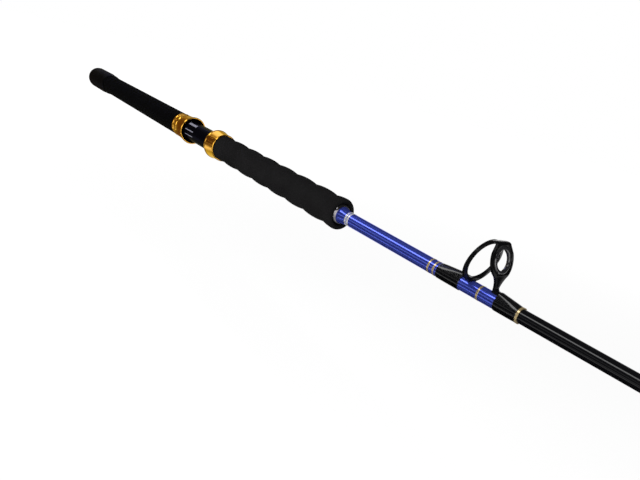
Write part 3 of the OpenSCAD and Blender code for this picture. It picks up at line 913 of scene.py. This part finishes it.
class ROD_OT_hardware(bpy.types.Operator):
    """Turn the gold lock nut, slip ring, sliding hood and fixed hood"""

    bl_idname = "rod.hardware"
    bl_label = "Nut and hoods"

    key_start: length("Key start", "Distance of the key from the hood's rear end", 1, 0, 5)
    key_length: length("Key length", "Length of the key", 6, 2, 15)
    key_width: length("Key width", "Width of the key", 2.6, 1, 4)
    key_root: length("Key root", "Distance from the rod's axis to the key's fixed face", 13.08, 12.6, 14)
    key_tip: length("Key tip", "Distance from the rod's axis to the key's free face", 11.5, 11, 12.4)

    def execute(self, context):
        sizes = context.scene.rod_sizes
        turned("fixed_hood_shell", "rod", "gold_anodised", ["fixed_hood"], sizes.edge_round * 2.5)
        self.sliding_hood(sizes)
        eased("lock_nut_ring", "nut", "gold_anodised", ["lock_nut"], sizes.edge_round * 0.6)
        turned("slip_ring", "hood", "gold_anodised", ["nut_washer"], sizes.edge_round)
        return {"FINISHED"}

    def sliding_hood(self, sizes):
        """The turned hood with the key that runs in the seat's keyway."""
        bm = outline("sliding_hood")
        round_corners(bm, sizes.edge_round)
        spin_round(bm, sizes.turning_steps)
        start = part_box("sliding_hood")[0].x + self.key_start
        low = Vector((start, -self.key_width / 2, -self.key_root))
        high = Vector((start + self.key_length, self.key_width / 2, -self.key_tip))
        place = Matrix.Translation((low + high) / 2) @ Matrix.Diagonal((*(high - low), 1))
        key = set(bmesh.ops.create_cube(bm, size=1, matrix=place)["verts"])
        round_edges(bm, [edge for edge in bm.edges if key.issuperset(edge.verts)], width=0.15 * MM)
        add_piece(bm, "sliding_hood_shell", "hood", "gold_anodised", ["sliding_hood"])


class ROD_OT_winding_check(bpy.types.Operator):
    """Turn the silver winding check and lay the blue cone ahead of it"""

    bl_idname = "rod.winding_check"
    bl_label = "Winding check and cone"

    def execute(self, context):
        sizes = context.scene.rod_sizes
        turned("winding_check_ring", "rod", "silver_anodised", ["winding_check"], sizes.edge_round)
        turned("check_cone_wrap", "rod", "blue_wrap", ["check_cone"], sizes.trim_round)
        return {"FINISHED"}


class ROD_OT_wraps(bpy.types.Operator):
    """Lay the blue butt wrap, the underwrap and the silver and gold bands"""

    bl_idname = "rod.wraps"
    bl_label = "Butt wrap and bands"

    def execute(self, context):
        width = context.scene.rod_sizes.trim_round
        turned("butt_wrap_thread", "rod", "blue_wrap", ["butt_wrap"], width)
        turned("underwrap_thread", "rod", "blue_wrap", ["guide_1_underwrap"], width)
        turned("silver_band_threads", "rod", "silver_thread", ["silver_bands"], width)
        turned("gold_band_threads", "rod", "gold_thread", ["gold_bands"], width)
        turned("guide_1_band_threads", "rod", "gold_thread", ["guide_1_bands"], width)
        turned("trim_band_threads", "rod", "gold_thread", ["trim_bands"], width)
        return {"FINISHED"}


class ROD_OT_guides(bpy.types.Operator):
    """Finish the six guide frames and polish their ceramic rings"""

    bl_idname = "rod.guides"
    bl_label = "Guides"

    lean: FloatProperty(
        name="Ring lean", description="Lean of the guide rings back towards the butt",
        default=math.radians(16), subtype="ANGLE",
    )
    tip_lean: FloatProperty(
        name="Tip ring lean", description="Lean of the tip ring, below zero away from the butt",
        default=math.radians(-22), subtype="ANGLE",
    )

    def execute(self, context):
        for number, guide in enumerate(GUIDES):
            width = context.scene.rod_sizes.wire_round * (1 - 0.1 * number)
            eased(guide + "_steel", "rod", "guide_frame_black", [guide + "_frame"], width)
            self.ring(guide + "_ring", self.lean, width * 0.8)
        width = context.scene.rod_sizes.wire_round
        eased("tip_steel", "rod", "guide_frame_black", ["tip_frame"], width * 0.6)
        self.ring("tip_ring", self.tip_lean, width * 0.4)
        return {"FINISHED"}

    def ring(self, node, lean, width):
        """A ring turned round its own leaning axis, from its section above its centre."""
        low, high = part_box(node)
        centre = (low + high) / 2
        axis = Vector((math.cos(lean), 0, math.sin(lean)))
        bm = outline(node)
        below = [v for v in bm.verts if (v.co - centre).cross(axis).y > 0]
        if len(below) == len(bm.verts):
            raise RuntimeError(node + " has no section above its centre")
        bmesh.ops.delete(bm, geom=below, context="VERTS")
        round_corners(bm, width)
        spin_round(bm, RING_STEPS, centre, axis)
        add_piece(bm, node.replace("_ring", "_insert"), "rod", "ceramic_dark", [node])


class ROD_OT_foot_wraps(bpy.types.Operator):
    """Wind the thread wraps over the guides' feet and under the tip"""

    bl_idname = "rod.foot_wraps"
    bl_label = "Foot wraps"

    spacing: length("Spacing", "Distance between rings of the wraps' mesh", 0.35, 0.1, 1)

    def execute(self, context):
        for guide in GUIDES:
            for end in ("_rear_wrap", "_front_wrap"):
                self.wind(guide + end, context.scene.rod_sizes.turning_steps // 2)
        turned("tip_wrap_thread", "rod", "black_wrap", ["tip_wrap"], context.scene.rod_sizes.trim_round)
        return {"FINISHED"}

    def wind(self, node, steps):
        """A smooth skin pulled down on to the wrap that the CAD holds."""
        low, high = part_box(node)
        core = merged_copy(node)
        tree = BVHTree.FromBMesh(core)
        core.free()
        inner = high.y * SKIN_BORE
        bm = bmesh.new()
        section = ((low.x, inner), (low.x, 2 * inner), (high.x, 2 * inner), (high.x, inner))
        points = [bm.verts.new((x, 0, r)) for x, r in section]
        outer = bm.edges.new((points[1], points[2]))
        for start, end in ((0, 1), (2, 3), (3, 0)):
            bm.edges.new((points[start], points[end]))
        rings = max(8, round((high.x - low.x) / self.spacing))
        bmesh.ops.subdivide_edges(bm, edges=[outer], cuts=rings - 1)
        spin_round(bm, steps)
        skin = []
        for vert in bm.verts:
            across = Vector((0, vert.co.y, vert.co.z))
            if across.length < 1.5 * inner:
                continue
            ray = across.normalized()
            x = min(max(vert.co.x, low.x + END_MARGIN), high.x - END_MARGIN)
            spot = tree.ray_cast(Vector((x, 0, 0)) + ray * RAY_START, -ray)[0]
            if spot is None:
                raise RuntimeError(node + " has no surface under its skin")
            reach = max(Vector((0, spot.y, spot.z)).length, inner + SKIN_LEAST)
            vert.co = Vector((vert.co.x, 0, 0)) + ray * reach
            skin.append(vert)
        for turn in range(2):
            bmesh.ops.smooth_vert(
                bm, verts=skin, factor=0.5, use_axis_x=False, use_axis_y=True, use_axis_z=True
            )
        bmesh.ops.recalc_face_normals(bm, faces=bm.faces)
        add_piece(bm, node + "_thread", "rod", "black_wrap", [node], sharp=50)


class ROD_PT_panel(bpy.types.Panel):
    """Steps and settings of the boat rod"""

    bl_idname = "ROD_PT_panel"
    bl_label = "Boat rod"
    bl_space_type = "VIEW_3D"
    bl_region_type = "UI"
    bl_category = "Rod"

    def draw(self, context):
        layout = self.layout
        for step in STEPS:
            layout.operator(step.bl_idname)
        for group in (context.scene.rod_stage, context.scene.rod_sizes, context.scene.rod_colours):
            box = layout.box()
            for name in group.__annotations__:
                box.prop(group, name)


STEPS = (
    ROD_OT_stage,
    ROD_OT_grips,
    ROD_OT_butt,
    ROD_OT_blank,
    ROD_OT_reel_seat,
    ROD_OT_hardware,
    ROD_OT_winding_check,
    ROD_OT_wraps,
    ROD_OT_guides,
    ROD_OT_foot_wraps,
)
CLASSES = (RodSizes, RodColours, RodStage, *STEPS, ROD_PT_panel)


def register():
    for item in CLASSES:
        bpy.utils.register_class(item)
    bpy.types.Scene.rod_sizes = PointerProperty(type=RodSizes)
    bpy.types.Scene.rod_colours = PointerProperty(type=RodColours)
    bpy.types.Scene.rod_stage = PointerProperty(type=RodStage)


def unregister():
    del bpy.types.Scene.rod_stage
    del bpy.types.Scene.rod_colours
    del bpy.types.Scene.rod_sizes
    for item in reversed(CLASSES):
        bpy.utils.unregister_class(item)


def main():
    register()
    bpy.ops.rod.stage()
    bpy.ops.rod.grips()
    bpy.ops.rod.butt()
    bpy.ops.rod.blank()
    bpy.ops.rod.reel_seat()
    bpy.ops.rod.hardware()
    bpy.ops.rod.winding_check()
    bpy.ops.rod.wraps()
    bpy.ops.rod.guides()
    bpy.ops.rod.foot_wraps()


if __name__ == "__main__":
    main()
